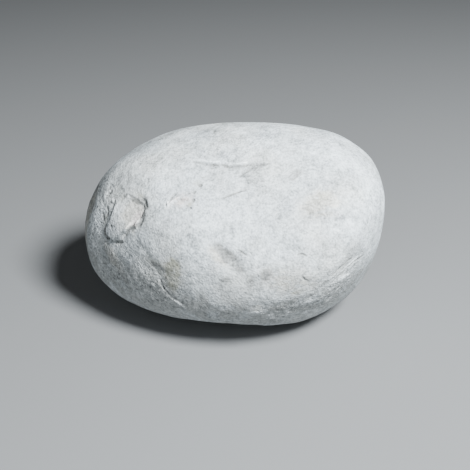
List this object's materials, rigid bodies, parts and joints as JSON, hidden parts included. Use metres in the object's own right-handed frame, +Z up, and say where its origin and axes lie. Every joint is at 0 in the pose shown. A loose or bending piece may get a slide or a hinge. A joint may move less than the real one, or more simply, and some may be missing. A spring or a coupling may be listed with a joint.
{
  "type": "garden boulder",
  "caption": "River-worn white marble boulder: a long rounded ovoid with a fuller, higher right end, a flake scar in its left end and a flat patch underneath to rest on.",
  "frame": {"origin": "on the ground, under the middle of the boulder's bounding box", "axes": "+Z up, +X along the length towards the fuller, higher end, -Y the front, which shows the flake scar at its left"},
  "size_m": [0.3854, 0.299, 0.2504],
  "materials": {
    "stone": "matt, fine sugary grain, lightly pitted, cool white with faint cream and grey-green stains"
  },
  "bodies": {
    "root": {"boulder": "stone"}
  },
  "joints": []
}
